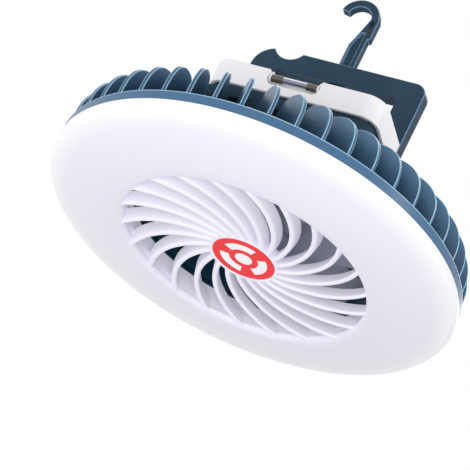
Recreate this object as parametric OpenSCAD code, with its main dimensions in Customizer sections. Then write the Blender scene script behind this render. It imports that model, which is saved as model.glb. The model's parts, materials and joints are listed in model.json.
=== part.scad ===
// Portable camping fan with a ring light, a fold-down hanging frame and a hook.
// Millimetres, +Z up. The fan hangs face down, and it also rests on its lip:
// the origin is the centre of that lip, at the lowest point of the fan.

/* [Light ring] */
// Diameter over the light ring, the largest size of the fan
ring_d = 200; // [180:1:240]
// Height of the light ring, from the lip to the seam with the blue band
ring_h = 14.6; // [13:0.2:18]
// Wall of the diffuser
ring_wall = 2; // [1.6:0.1:2.6]
// How far the face of the diffuser bulges past a plain cone
ring_bulge = 1.2; // [0:0.1:2]
// Straight part of the diffuser's outer wall
ring_side = 4.4; // [3:0.1:6]
// Rounding of the lip into the throat
lip_round = 3; // [1:0.1:3.2]
// Height of the lip's wall in the throat, in front of the grille's rim
lip_h = 3.4; // [3.2:0.1:4]
// From the bore of the light ring to the outer edge of the flat that the fan rests on
lip_flat = 3.4; // [2:0.1:6]
// Number of lamps under the diffuser
led_count = 24; // [12:1:36]

/* [Grille] */
// Inner diameter of the throat
throat_d = 119; // [100:1:130]
// Wall of the throat tube
tube_wall = 1.5; // [1.2:0.1:2.5]
// Length of the throat tube
tube_len = 12.7; // [11:0.1:13]
// Number of swirled vanes
vane_count = 22; // [16:1:26]
// Thickness of a vane
vane_t = 2.5; // [1.8:0.1:3.2]
// Depth of a vane
vane_depth = 5.9; // [5:0.1:7]
// Diameter of the hub that the vanes meet in
hub_d = 33.4; // [30:0.2:40]
// How far the hub lies behind the front edges of the vanes
hub_sink = 0.3; // [0.1:0.1:2]
// Diameter of the dish that leads from the vanes down to the hub
dish_d = 46; // [40:1:60]
// Diameter of the red badge
badge_d = 30.4; // [24:0.2:32]

/* [Fins] */
// Height of the blue band
band_h = 5.7; // [5:0.1:8]
// Number of fins round the back
fin_count = 46; // [30:1:52]
// Thickness of a fin
fin_t = 2; // [1.4:0.1:2.6]
// Height of a fin over the band
fin_h = 24.4; // [20:0.2:30]
// Length of a fin, from the rim inwards
fin_len = 30; // [22:0.5:34]
// Angle between a fin and the radius through its foot
fin_skew = 21.7; // [0:0.1:30]
// Rounding of the inner top corner of a fin
fin_corner = 8; // [3:0.5:12]
// Fullness of a fin's outer curve: 2 is an ellipse, more is squarer
fin_full = 2.6; // [2:0.1:4]

/* [Back] */
// Height of the drum over the band
drum_h = 25.8; // [25:0.2:34]
// Wall of the drum, pedestal and other mouldings
wall = 2; // [1.6:0.1:2.6]
// Depth of the pedestal in front of the fan's axis
ped_front = 30.5; // [28:0.5:40]
// Depth of the pedestal behind the fan's axis
ped_rear = 26; // [25:0.5:40]
// Corner radius of the pedestal
ped_corner = 7; // [4:0.5:12]
// Step between the pedestal and the white box above it
box_step = 2; // [0.5:0.1:4]
// Height of the white box
box_h = 12.3; // [12:0.1:16]
// Depth of the white box behind the fan's axis
box_rear = 24; // [22:0.5:25]
// Number of air inlets in the drum
inlet_count = 23; // [12:1:30]

/* [Frame] */
// Height of the hanging frame over its pivot
frame_rise = 41.9; // [38:0.1:60]
// Thickness of the frame
frame_t = 7.5; // [7:0.1:10]
// Width of an arm
arm_w = 12; // [10:0.1:14]
// Height of the top bar
bar_h = 10.5; // [9:0.1:14]
// Large corner radius, beside the opener
corner_big = 11; // [4:0.5:12]
// Small corner radius
corner_small = 6; // [2:0.5:10]
// Distance of the frame's middle plane behind the fan's axis
frame_y = 8.65; // [6:0.05:10]
// Diameter of a pivot pin
pivot_d = 5; // [3:0.1:6]
// Width of the opener notch
notch_w = 14; // [10:0.5:16]
// Depth of the opener notch
notch_h = 4.4; // [3:0.1:5]

/* [Hook] */
// Width of the shank
shank_w = 7.4; // [6.5:0.1:11]
// Thickness of the shank
shank_t = 4.6; // [3.6:0.1:5]
// Outer radius of the hook's loop
loop_r = 9.5; // [8:0.1:14]
// Width of the hook's bar in the loop
loop_w = 3.8; // [3:0.1:5]
// Height of the loop's centre over the top bar
loop_rise = 27.6; // [24:0.2:40]
// How far the hook pushes down into the frame
hook_travel = 16.7; // [10:0.1:17]

/* [Power] */
// Diameter of a battery cell
cell_d = 18.4; // [14:0.1:21]
// Length of a battery cell
cell_l = 65.2; // [50:0.1:70]
// Diameter of the motor can
can_d = 27; // [22:0.5:30]
// Length of the motor can
can_l = 14; // [12:0.5:18]
// Diameter of the motor shaft
shaft_d = 3; // [2:0.1:4]
// Number of impeller blades
blade_count = 7; // [3:1:9]
// Pitch angle of a blade
blade_pitch = 28; // [20:1:40]
// Chord of a blade
blade_chord = 22.5; // [16:0.5:23]

/* [Lid and buttons] */
// Width of the charging lid
lid_w = 25; // [18:0.2:28]
// Place of the lid's middle along the front wall
lid_x = -2.2; // [-5:0.1:5]
// Length of the lid behind its pin
lid_l = 24.6; // [20:0.2:30]
// Diameter of the lid's steel pin
pin_d = 2.5; // [1.6:0.1:3]
// Diameter of a push button
button_d = 9; // [7:0.2:10]
// Travel of a push button
button_travel = 0.8; // [0.4:0.1:1.2]

/* [Hidden] */
$fn = 96;

blue = [0.18, 0.25, 0.33];
white = [0.93, 0.93, 0.96];
steel = [0.72, 0.73, 0.75];

// Clearances: a running pin, a fixed pin, sliding faces, and seats between mouldings
run = 0.05;
fix = 0.02;
slide = 0.3;
seat = 0.2;

// Radii of the light ring and throat
ring_r = ring_d / 2;
throat_r = throat_d / 2;
tube_r = throat_r + tube_wall;
lip_r = tube_r + seat;
grille_z = 0.2;
badge_z = grille_z + hub_sink;

// Heights of the light ring's inside
plate_t = 1.5;
carrier_z = ring_h - plate_t;
board_t = 1.6;
board_z = carrier_z - board_t;
chip_t = 0.8;

// Radii: the drum stands inside the fins, the duct inside the drum
fin_foot_r = ring_r - 1.5;
fin_phase = -69.1;
fin_in_r = sqrt(pow(fin_foot_r, 2) + pow(fin_len, 2)
    - 2 * fin_foot_r * fin_len * cos(fin_skew));
drum_r = fin_in_r - 1;
flange_w = 5;
flange_z = ring_h + band_h - 2 * wall;
band_z = ring_h + band_h;
drum_z = band_z + drum_h;

// Screws that hold the light ring's carrier under the drum's flange
house_screw_r = 1.5;
house_head_r = 2.5;
house_head_t = 1.4;
house_pcd = 2 * (drum_r + flange_w / 2);
board_in_r = house_pcd / 2 + house_head_r + 1.2;
board_out_r = ring_r - ring_wall - 3;

// Duct, spider, motor and impeller, from the carrier upwards
duct_len = can_l + 5.4;
spider_post = tube_r + 1.7;
spider_z = ring_h + duct_len;
spider_t = 3;
can_z = spider_z - can_l;
can_r = can_d / 2;
tip_gap = 1.6;
rotor_r = throat_r - tip_gap;
rotor_hub_r = can_r + 2.2;
rotor_z = ring_h + 0.8;
rotor_h = 12;
blade_t = 1.6;
blade_z = rotor_z + rotor_h / 2;

// Pedestal, sized round two cells lying side by side along X
holder_floor = 2;
cell_gap = 0.35;
ped_h = wall + cell_d + 2 * cell_gap + holder_floor + 0.4;
ped_z = drum_z + ped_h;
ped_w = cell_l + 16;
cell_z = ped_z - wall - cell_gap - cell_d / 2;
cell_pitch = cell_d + 2;
cell_y = (ped_rear - ped_front) / 2;

// White box
box_w = ped_w + 2 * box_step;
box_front = ped_front + box_step;
box_top = ped_z + box_h;
box_corner = ped_corner + box_step;

// Hanging frame and its pivots
pivot_z = ped_z + frame_t / 2 + 0.75;
frame_top = pivot_z + frame_rise;
bar_z = frame_top - bar_h;
arm_in = box_w / 2 - arm_w;
washer_t = 0.9;
neck_w = 2 * (arm_in - washer_t - 2 * seat);
slot_front = frame_y - frame_t / 2 - slide;
frame_split = frame_y + frame_t / 6;
pivot_r = pivot_d / 2;
boss_len = 6;
boss_r = pivot_z - ped_z - 0.1;

// Hook and its pocket in the top bar
hook_x = 0.3;
foot_t = shank_t + 1;
foot_h = 3;
roof = 2.5;
loop_x = hook_x + shank_w / 2 + 0.9 - loop_r;
loop_z = frame_top + loop_rise;
notch_x = -27.6;
notch_r = (pow(notch_w / 2, 2) + pow(notch_h, 2)) / (2 * notch_h);
notch_z = frame_top + notch_r - notch_h;

// Charging lid: the pin lies across a recess in the top edge of the front wall
pin_r = pin_d / 2;
pin_y = -box_front + pin_r + 0.85;
pin_z = box_top - 3.3;
recess_w = lid_w + 2 * slide;
recess_h = 7.7;
recess_d = 5.3;
recess_corner = 3.2;
lid_t = 1.7;
lid_z = box_top - 0.1 - lid_t;
ear_t = 1;
coil_r = 0.22;
coil_out = pin_r + run + 2 * coil_r + 0.04;
coil_turns = 12;

// Control board, socket and buttons
pcb_z = ped_z + 2;
socket_y = pin_y + 13;
button_y = (slot_front + box_rear) / 2 + 2;
button_x = 11;
button_proud = 1.2;
flange_h = 1;
switch_h = 3.4;
button_z = box_top - wall - flange_h - 0.1;

// ------------------------------------------------------------------ helpers

// Points of an arc
function arc(c, r, a0, a1, n) = [for (i = [0:n]) c + r * [cos(a0 + (a1 - a0) * i / n),
    sin(a0 + (a1 - a0) * i / n)]];

// Centre of the circle through three points
function mid_circle(a, b, c) =
    let (d = 2 * (a.x * (b.y - c.y) + b.x * (c.y - a.y) + c.x * (a.y - b.y)),
        qa = a * a, qb = b * b, qc = c * c)
    [(qa * (b.y - c.y) + qb * (c.y - a.y) + qc * (a.y - b.y)) / d,
        (qa * (c.x - b.x) + qb * (a.x - c.x) + qc * (b.x - a.x)) / d];

// Tube of inner radius r0, outer radius r1, from z0, h high
module tube(r0, r1, z0, h) {
    translate([0, 0, z0]) difference() {
        cylinder(r = r1, h = h);
        translate([0, 0, -1]) cylinder(r = r0, h = h + 2);
    }
}

// Flat outline with round corners, from x0,y0 to x1,y1
module round_rect(x0, y0, x1, y1, r) {
    translate([x0 + r, y0]) square([x1 - x0 - 2 * r, y1 - y0]);
    translate([x0, y0 + r]) square([x1 - x0, y1 - y0 - 2 * r]);
    for (x = [x0 + r, x1 - r], y = [y0 + r, y1 - r]) translate([x, y]) circle(r = r);
}

// Plate standing in the XZ plane: the outline's y is the height, from y0, t thick
module upright(y0, t) {
    translate([0, y0 + t, 0]) rotate([90, 0, 0]) linear_extrude(t) children();
}

// Cylinder along X from x0 to x1
module rod_x(r, x0, x1, y, z) {
    translate([x0, y, z]) rotate([0, 90, 0]) cylinder(r = r, h = x1 - x0);
}

// Copies round the axis
module ring_of(n, a0 = 0) {
    for (i = [0:n - 1]) rotate(a0 + i * 360 / n) children();
}

// Screw with its head down at z and its tip above it
module screw_up(head_r, head_t, shank_r, len) {
    translate([0, 0, -head_t]) cylinder(r = head_r, h = head_t, $fn = 32);
    cylinder(r = shank_r, h = len, $fn = 32);
}

// ------------------------------------------------------------------ light ring

// Face of the diffuser from its outer wall (t = 0) to the lip (t = 1)
function face(t, z_add) = [
    ring_r - (ring_r - lip_r - lip_flat) * t - z_add * 0.25,
    (ring_h - ring_side) * (1 - t) - 4 * ring_bulge * t * (1 - t) + z_add];

module diffuser_ring() {
    edge = 2.6;
    steps = 14;
    outer = [for (i = [1:steps]) face(0.02 + 0.98 * i / steps, 0)];
    inner = [for (i = [steps:-1:1]) face(0.02 + 0.98 * i / steps, ring_wall)];
    color(white) rotate_extrude($fn = 180) polygon(concat(
        [[ring_r, ring_h]],
        arc([ring_r - edge, ring_h - ring_side + edge * 0.9], edge, 0, -70, 6),
        outer,
        arc([throat_r + lip_round, lip_round], lip_round, 270, 180, 8),
        [[throat_r, lip_h], [lip_r, lip_h], [lip_r, carrier_z], [lip_r + ring_wall, carrier_z],
            [lip_r + ring_wall, ring_wall + 0.6]],
        inner,
        [[ring_r - ring_wall, ring_h - ring_side + ring_wall],
            [ring_r - ring_wall, ring_h]]));
}

// Flat annular plate that closes the light ring and carries its board
module led_carrier() {
    color("white") difference() {
        tube(tube_r + seat, ring_r - ring_wall - seat, carrier_z, plate_t);
        ring_of(6) translate([house_pcd / 2, 0, carrier_z - 1])
            cylinder(r = house_screw_r + 0.1, h = plate_t + 2);
    }
}

module led_board() {
    color("seagreen") tube(board_in_r, board_out_r, board_z, board_t);
}

module led_chips() {
    color("lightyellow") ring_of(led_count)
        translate([(board_in_r + board_out_r) / 2 - 1.75, -1.4, board_z - chip_t])
            cube([3.5, 2.8, chip_t]);
}

// ------------------------------------------------------------------ grille

// Azimuth of a vane's middle line at radius r, from where it leaves the hub
vane_start = -17.7;
vane_swirl = 21.1;
vane_curl = 10.3;
function vane_az(r) = let (s = ln(r / (hub_d / 2)))
    vane_start - vane_swirl * s - vane_curl * s * s;
function vane_pt(r) = r * [cos(vane_az(r)), sin(vane_az(r))];

// One vane is a stretch of a ring, bent along the arc through three of its points
module vane() {
    p1 = vane_pt(hub_d / 2 - 1);
    p2 = vane_pt((hub_d / 2 + throat_r) / 2);
    p3 = vane_pt(throat_r + tube_wall / 2);
    c = mid_circle(p1, p2, p3);
    r = norm(p1 - c);
    difference() {
        intersection() {
            translate(c) difference() {
                circle(r = r + vane_t / 2, $fn = 180);
                circle(r = r - vane_t / 2, $fn = 180);
            }
            polygon([c, c + 1.6 * (p1 - c), c + 1.6 * (p2 - c), c + 1.6 * (p3 - c)]);
            circle(r = throat_r + tube_wall / 2);
        }
        circle(r = hub_d / 2 - 1);
    }
}

// Vanes between the hub and a rim that lies behind the diffuser's lip
module front_grille() {
    lead = 1;
    slope = (dish_d / 2 - hub_in_r) / hub_sink;
    color(white) difference() {
        translate([0, 0, grille_z]) linear_extrude(vane_depth) {
            difference() {
                circle(r = tube_r);
                circle(r = throat_r);
            }
            circle(r = hub_d / 2);
            ring_of(vane_count) vane();
        }
        tube(throat_r - seat / 2, tube_r + lead, -lead, lead + lip_h + seat);
        // Dish down to the hub, and the badge's bed in it
        translate([0, 0, grille_z - lead])
            cylinder(r1 = dish_d / 2 + slope * lead, r2 = hub_in_r, h = hub_sink + lead);
        translate([0, 0, -lead]) cylinder(r = badge_d / 2 + seat / 2, h = lead + badge_z + badge_t);
    }
}
hub_in_r = badge_d / 2 + 0.6;

// The throat stands on the grille's rim and reaches up to the carrier
module throat_tube() {
    color(white) tube(throat_r, tube_r, grille_z + vane_depth, tube_len - vane_depth);
}

badge_t = 1.4;
motif_t = 0.4;

// Three broad arcs round a dot, the plain device on the badge
module motif(grow) {
    circle(r = 4.2 + grow);
    for (a = [30, 150, 270]) rotate(a) intersection() {
        difference() {
            circle(r = 11.6 + grow);
            circle(r = 7.2 - grow);
        }
        polygon([[0, 0], 30 * [cos(42), -sin(42)], 30 * [cos(42), sin(42)]]);
    }
}

module grille_badge() {
    color("red") difference() {
        translate([0, 0, badge_z]) cylinder(r = badge_d / 2, h = badge_t - 0.1);
        translate([0, 0, badge_z - 1]) linear_extrude(1 + motif_t) motif(0.05);
    }
}

module badge_motif() {
    color(white) translate([0, 0, badge_z]) linear_extrude(motif_t) motif(0);
}

// ------------------------------------------------------------------ fins

// Outline of a fin: inwards is +X, up is +Y
module fin_outline() {
    n = 12;
    flat_x = fin_len - fin_corner;
    polygon(concat(
        [[0, 0]],
        [for (i = [1:n]) let (x = flat_x * pow(i / n, 2)) [x, fin_rise(x)]],
        arc([flat_x, fin_rise(flat_x) - fin_corner], fin_corner, 80, 0, 6),
        [[fin_len, 0]]));
}
function fin_rise(x) = fin_h * pow(1 - pow(1 - x / (fin_len - 1), fin_full), 1 / fin_full);

module fin() {
    translate([fin_foot_r, 0, band_z]) rotate(180 + fin_skew)
        translate([0, fin_t / 2, 0]) rotate([90, 0, 0]) linear_extrude(fin_t) fin_outline();
}

module cooling_fins() {
    color("steelblue") ring_of(fin_count, fin_phase) fin();
}

// Band over the seam of the light ring, with the deck that the fins stand on
module rim_band() {
    band_r = ring_r - 0.5;
    color("steelblue") difference() {
        rotate_extrude($fn = 180) polygon([[band_r - wall, ring_h], [band_r, ring_h],
            [band_r, band_z], [drum_r + 0.4, band_z], [drum_r + 0.4, band_z - wall],
            [band_r - wall, band_z - wall]]);
        ring_of(6) translate([house_pcd / 2, 0, band_z - wall - 1])
            cylinder(r = house_screw_r + 0.4, h = wall - 0.4 + 1);
    }
}

// ------------------------------------------------------------------ back cover

// Drum with a flange for the screws and a closed top; the wires pass through wire_r
module rear_cover() {
    inlet_h = drum_h - 9;
    inlet_w = 7.2;
    color(blue) difference() {
        union() {
            rotate_extrude($fn = 180) polygon([[drum_r - wall, ring_h], [drum_r, ring_h],
                [drum_r, flange_z], [drum_r + flange_w, flange_z], [drum_r + flange_w, flange_z + wall],
                [drum_r, flange_z + wall], [drum_r, drum_z], [wire_r, drum_z], [wire_r, drum_z - wall],
                [drum_r - wall, drum_z - wall]]);
            ring_of(6) translate([house_pcd / 2, 0, ring_h]) cylinder(r = 2.4, h = flange_z - ring_h + 1);
        }
        ring_of(inlet_count, fin_phase + 180 / fin_count)
            translate([drum_r - wall - 1, -inlet_w / 2, band_z + 3]) cube([wall + 2, inlet_w, inlet_h]);
        ring_of(6) translate([house_pcd / 2, 0, ring_h - 1])
            cylinder(r = house_screw_r + 0.1, h = flange_z + wall - ring_h + 2);
    }
}
wire_r = 3;

// Walls and roof round the battery, standing on the drum
module pedestal() {
    color(blue) difference() {
        translate([0, 0, drum_z]) linear_extrude(ped_h)
            round_rect(-ped_w / 2, -ped_front, ped_w / 2, ped_rear, ped_corner);
        translate([0, 0, drum_z - 1]) linear_extrude(ped_h + 1 - wall) round_rect(-ped_w / 2 + wall,
            -ped_front + wall, ped_w / 2 - wall, ped_rear - wall, ped_corner - wall);
        translate([0, cell_y, ped_z - wall - 1]) cylinder(r = wire_r, h = wall + 2);
        for (p = box_screw_at) translate([p.x, p.y, ped_z - wall - 1]) cylinder(r = 1.6, h = wall + 2);
    }
}
box_screw_at = [for (x = [-1, 1], y = [-ped_front + wall + 3, slot_front - 6]) [x * (box_w / 2 - 9), y]];

module housing_screws() {
    color(steel) ring_of(6) translate([house_pcd / 2, 0, carrier_z])
        screw_up(house_head_r, house_head_t, house_screw_r, band_z - wall - carrier_z - 0.2);
}

// ------------------------------------------------------------------ fan

module air_duct() {
    color(blue) {
        rotate_extrude($fn = 180) polygon([[throat_r, ring_h], [drum_r - wall - slide, ring_h],
            [drum_r - wall - slide, ring_h + 1.8], [tube_r, ring_h + 1.8], [tube_r, spider_z],
            [throat_r, spider_z]]);
        ring_of(4, 45) translate([spider_post, 0, ring_h + 1]) difference() {
            cylinder(r = 2.4, h = duct_len - 1.4);
            translate([0, 0, duct_len - 10]) cylinder(r = 1.1, h = 10);
        }
    }
}

module motor_spider() {
    color("white") translate([0, 0, spider_z]) linear_extrude(spider_t) difference() {
        union() {
            difference() {
                circle(r = tube_r + 4.2);
                circle(r = throat_r - 1.5);
            }
            circle(r = can_r + 2);
            ring_of(5, 12) translate([can_r, -2.5]) square([throat_r - can_r, 5]);
        }
        ring_of(4, 45) translate([spider_post, 0]) circle(r = 1.2);
        circle(r = shaft_d);
    }
}

module spider_screws() {
    color(steel) ring_of(4, 45) translate([spider_post, 0, spider_z + spider_t])
        rotate([180, 0, 0]) screw_up(2.2, 1.2, 1, 9);
}

module motor_can() {
    color(steel) difference() {
        translate([0, 0, can_z]) cylinder(r = can_r, h = can_l);
        translate([0, 0, can_z - 1]) cylinder(r = shaft_d / 2 + 2.2 + fix, h = 4);
        translate([0, 0, can_z + 2]) cylinder(r = shaft_d / 2 + 0.4, h = can_l);
    }
}

module motor_bearing() {
    color("goldenrod") tube(shaft_d / 2 + run, shaft_d / 2 + 2.2, can_z, 2.9);
}

module motor_shaft() {
    shaft_z = rotor_z + 1;
    color(steel) translate([0, 0, shaft_z]) cylinder(r = shaft_d / 2, h = spider_z - 1 - shaft_z);
}

// Blades are flat plates set at the pitch angle and cut to the hub and the tip circle
module impeller() {
    floor_t = 1.6;
    collar_h = 1.2;
    color("lightslategray") {
        difference() {
            union() {
                difference() {
                    translate([0, 0, rotor_z]) cylinder(r = rotor_hub_r, h = rotor_h);
                    translate([0, 0, rotor_z + floor_t]) cylinder(r = can_r + 1, h = rotor_h);
                }
                translate([0, 0, rotor_z]) cylinder(r = shaft_d / 2 + 1.6, h = floor_t + collar_h);
            }
            translate([0, 0, rotor_z - 1]) cylinder(r = shaft_d / 2 + fix, h = floor_t + collar_h + 2);
        }
        intersection() {
            ring_of(blade_count) translate([rotor_hub_r - 2, 0, blade_z]) rotate([-blade_pitch, 0, 0])
                translate([0, -blade_chord / 2, -blade_t / 2]) cube([rotor_r, blade_chord, blade_t]);
            tube(rotor_hub_r - 0.6, rotor_r, rotor_z, rotor_h);
        }
    }
}

module impeller_clip() {
    color(steel) tube(shaft_d / 2 + fix, shaft_d / 2 + 1.6, rotor_z + 2.85, 0.6);
}

// ------------------------------------------------------------------ battery

module cell_row(r, len, x0) {
    for (s = [-1, 1]) rod_x(r, x0, x0 + len, cell_y + s * cell_pitch / 2, cell_z);
}

// Tray under the cells, with two cradles and walls at the ends
module battery_holder() {
    bottom = cell_z - cell_d / 2 - cell_gap - holder_floor;
    half = cell_pitch + 1;
    color("dimgray") difference() {
        translate([-cell_l / 2 - 3, cell_y - half, bottom])
            cube([cell_l + 6, 2 * half, holder_floor + cell_d * 0.4]);
        cell_row(cell_d / 2 + cell_gap, cell_l + 1.6, -cell_l / 2 - 0.8);
    }
}

module battery_cells() {
    color("royalblue") cell_row(cell_d / 2, cell_l, -cell_l / 2);
}

module cell_contacts() {
    color(steel) for (x = [-1, 1], s = [-1, 1])
        translate([x * (cell_l / 2 + 0.1) + (x < 0 ? -0.5 : 0), cell_y + s * cell_pitch / 2 - 3, cell_z - 7])
            cube([0.5, 6, 8]);
}

// ------------------------------------------------------------------ white box

// Plan of the box: full width in front of the frame, and a neck between its arms
module box_plan(inset) {
    n = neck_w / 2 - inset;
    difference() {
        round_rect(-box_w / 2 + inset, -box_front + inset, box_w / 2 - inset,
            slot_front + box_corner, box_corner - inset);
        translate([-box_w, slot_front - inset]) square([2 * box_w, box_w]);
    }
    round_rect(-n, slot_front - 20, n, box_rear - inset, 6 - inset);
}

// Walls round the recess for the pin and under the channel for the lid
module lid_bay_walls() {
    half = recess_w / 2 + 2;
    translate([lid_x - half, -box_front + 1, box_top - recess_h - wall])
        cube([2 * half, recess_d + 1, recess_h + wall - 1]);
    translate([lid_x - half, -box_front + 1, lid_z - 0.1 - wall])
        cube([2 * half, lid_l + 5.6, wall + lid_t - 1]);
}

// Recess with round lower corners, channel for the lid, hole over the socket, bore for the pin
module lid_bay_cuts() {
    translate([lid_x, 0, 0]) {
        upright(-box_front - 1, recess_d + 1)
            round_rect(-recess_w / 2, box_top - recess_h, recess_w / 2, box_top + 8, recess_corner);
        translate([-recess_w / 2, -box_front + 1, lid_z - 0.1])
            cube([recess_w, pin_y + box_front - 1 + lid_l + slide, lid_t + 2]);
        translate([-6, socket_y - 3.5, lid_z - wall - 2]) cube([12, 7, wall + 6]);
        rod_x(pin_r + fix, -recess_w / 2 - 1.5, recess_w / 2 + 1.5, pin_y, pin_z);
    }
}

module box_cover() {
    color(white) difference() {
        union() {
            difference() {
                translate([0, 0, ped_z]) linear_extrude(box_h) box_plan(0);
                translate([0, 0, ped_z - 1]) linear_extrude(box_h + 1 - wall) box_plan(wall);
            }
            lid_bay_walls();
            for (s = [-1, 1]) rod_x(boss_r, s * (neck_w / 2 - wall / 2) - boss_len / 2 * (1 + s),
                s * (neck_w / 2 - wall / 2) + boss_len / 2 * (1 - s), frame_y, pivot_z);
            for (p = box_screw_at) translate([p.x, p.y, ped_z]) cylinder(r = 3, h = box_h - 1);
        }
        lid_bay_cuts();
        rod_x(pivot_r + run, -box_w, box_w, frame_y, pivot_z);
        for (p = box_screw_at) translate([p.x, p.y, ped_z - 1]) cylinder(r = 1.1, h = 9);
        for (s = [-1, 1]) translate([s * button_x, button_y, box_top - wall - 1])
            cylinder(r = button_d / 2 + slide, h = wall + 2);
        translate([0, button_y, box_top - wall - 1]) cylinder(r = 1.5 + 0.05, h = wall + 2);
    }
}

module box_screws() {
    color(steel) for (p = box_screw_at) translate([p.x, p.y, ped_z - wall])
        screw_up(2.4, 1.2, 1, wall + 6.5);
}

module control_board() {
    color("seagreen") difference() {
        translate([-box_w / 2 + wall + 1.5, -box_front + wall + 9, pcb_z])
            cube([box_w - 2 * wall - 3, slot_front + box_front - 2 * wall - 11, 1.6]);
        for (p = box_screw_at) translate([p.x, p.y, pcb_z - 1]) cylinder(r = 3.2, h = 4);
    }
}

module charge_socket() {
    w = 8.9;
    d = 3.2;
    h = lid_z - wall - 0.4 - pcb_z - 1.6;
    color(steel) translate([lid_x, socket_y, pcb_z + 1.6]) difference() {
        translate([-w / 2, -d / 2, 0]) cube([w, d, h]);
        translate([-w / 2 + 0.4, -d / 2 + 0.4, 1]) cube([w - 0.8, d - 0.8, h]);
    }
}

// Board behind the frame that carries the switches
module switch_board() {
    half = button_x + 6;
    color("seagreen") translate([-half, button_y - 4, pcb_z]) cube([2 * half, 8, switch_z - pcb_z]);
}
switch_z = button_z - button_travel - 0.2 - switch_h;

module tact_switches() {
    color("black") for (s = [-1, 1]) translate([s * button_x, button_y, switch_z]) {
        translate([-3, -3, 0]) cube([6, 6, switch_h - 0.8]);
        cylinder(r = 1.6, h = switch_h);
    }
}

module button(x) {
    translate([x, button_y, button_z]) {
        cylinder(r = button_d / 2 + 1.2, h = flange_h);
        cylinder(r = button_d / 2, h = flange_h + 0.1 + wall + button_proud);
    }
}

module power_button() {
    color(blue) button(-button_x);
}

module light_button() {
    color(blue) button(button_x);
}

module charge_window() {
    color("white") translate([0, button_y, box_top - wall]) cylinder(r = 1.5, h = wall + 0.1);
}

// ------------------------------------------------------------------ charging lid

module port_lid() {
    ear_r = 2;
    color(white) translate([lid_x, 0, 0]) difference() {
        union() {
            translate([-lid_w / 2, pin_y + coil_out, lid_z]) cube([lid_w, lid_l - coil_out, lid_t]);
            for (s = [-1, 1]) {
                rod_x(ear_r, s * (lid_w / 2 - ear_t / 2) - ear_t / 2,
                    s * (lid_w / 2 - ear_t / 2) + ear_t / 2, pin_y, pin_z);
                translate([s * (lid_w / 2 - ear_t / 2) - ear_t / 2, pin_y - 0.4, pin_z])
                    cube([ear_t, coil_out + 1.2, lid_z + lid_t - pin_z]);
            }
        }
        rod_x(pin_r + run, -lid_w, lid_w, pin_y, pin_z);
        translate([0, pin_y + lid_l + 3, lid_z - 1]) cylinder(r = 5.5, h = lid_t + 2);
    }
}

module lid_pin() {
    color(steel) rod_x(pin_r, lid_x - recess_w / 2 - 1.3, lid_x + recess_w / 2 + 1.3, pin_y, pin_z);
}

// Two coils on the pin: each is a row of rings a little closer than the wire is thick
module lid_springs() {
    len = 5.2;
    pitch = (len - 2 * coil_r) / (coil_turns - 1);
    outer_end = lid_w / 2 - ear_t - 0.2;
    color("dimgray") for (s = [-1, 1])
        translate([lid_x + s * outer_end - len / 2 * (1 + s), pin_y, pin_z]) rotate([0, 90, 0])
            rotate_extrude($fn = 48) {
                for (i = [0:coil_turns - 1]) translate([pin_r + run + coil_r, coil_r + i * pitch])
                    circle(r = coil_r, $fn = 20);
                translate([pin_r + run, coil_r]) square([coil_r * 1.2, len - 2 * coil_r]);
            }
}

// ------------------------------------------------------------------ frame

// Outline with a big round corner on one side and a small one on the other
module frame_outline() {
    w = box_w / 2;
    difference() {
        translate([-w, pivot_z]) square([2 * w, frame_rise]);
        for (c = [[-1, corner_big], [1, corner_small]]) difference() {
            translate([c[0] * (w - c[1] / 2 + 0.5) - (c[1] + 1) / 2, frame_top - c[1]])
                square([c[1] + 1, c[1] + 1]);
            translate([c[0] * (w - c[1]), frame_top - c[1]]) circle(r = c[1]);
        }
        round_rect(-arm_in, pivot_z - 10, arm_in, bar_z, 1.5);
        translate([notch_x, notch_z]) circle(r = notch_r);
    }
}

module frame_solid() {
    difference() {
        union() {
            upright(frame_y - frame_t / 2, frame_t) frame_outline();
            for (s = [-1, 1]) rod_x(frame_t / 2, s * (arm_in + arm_w / 2) - arm_w / 2,
                s * (arm_in + arm_w / 2) + arm_w / 2, frame_y, pivot_z);
        }
        rod_x(pivot_r + fix, -box_w / 2 + 2, box_w / 2 - 2, frame_y, pivot_z);
        // Pocket for the hook's foot, and the narrower slot above it
        translate([hook_x - shank_w / 2 - slide, frame_y - foot_t / 2 - seat, bar_z - 1])
            cube([shank_w + 2 * slide, foot_t + 2 * seat, bar_h + 1 - roof]);
        translate([hook_x - shank_w / 2 - slide, frame_y - shank_t / 2 - seat, bar_z - 1])
            cube([shank_w + 2 * slide, shank_t + 2 * seat, bar_h + 9]);
        // Bed for the opener's steel insert
        upright(frame_split - insert_t - 0.05, insert_t + 0.05) insert_bed(0.1);
        for (p = frame_screw_at) translate([p.x, 0, p.y]) rotate([-90, 0, 0]) {
            translate([0, 0, frame_y - frame_t / 2 + 1.6]) cylinder(r = 1.15, h = frame_t);
            translate([0, 0, frame_y + frame_t / 2 - 1.3]) cylinder(r = 2.3, h = 3);
        }
    }
}
insert_t = 0.8;
frame_screw_at = [for (s = [-1, 1], p = [[arm_in + arm_w / 2, 88], [18, frame_top - bar_h / 2]])
    [s * p.x, p.y]];

module insert_bed(grow) {
    translate([notch_x - 9 - grow, bar_z + 2.5 - grow]) square([17 + 2 * grow, bar_h - 3.6 + 2 * grow]);
}

module frame_front() {
    color(blue) intersection() {
        frame_solid();
        translate([-box_w, frame_split - 50, 0]) cube([2 * box_w, 50, 2 * frame_top]);
    }
}

module frame_back() {
    color(blue) intersection() {
        frame_solid();
        translate([-box_w, frame_split, 0]) cube([2 * box_w, 50, 2 * frame_top]);
    }
}

module frame_screws() {
    color(steel) for (p = frame_screw_at) translate([p.x, frame_y + frame_t / 2 - 1.3, p.y])
        rotate([90, 0, 0]) screw_up(2.2, 1.2, 1.05, 4);
}

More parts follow.
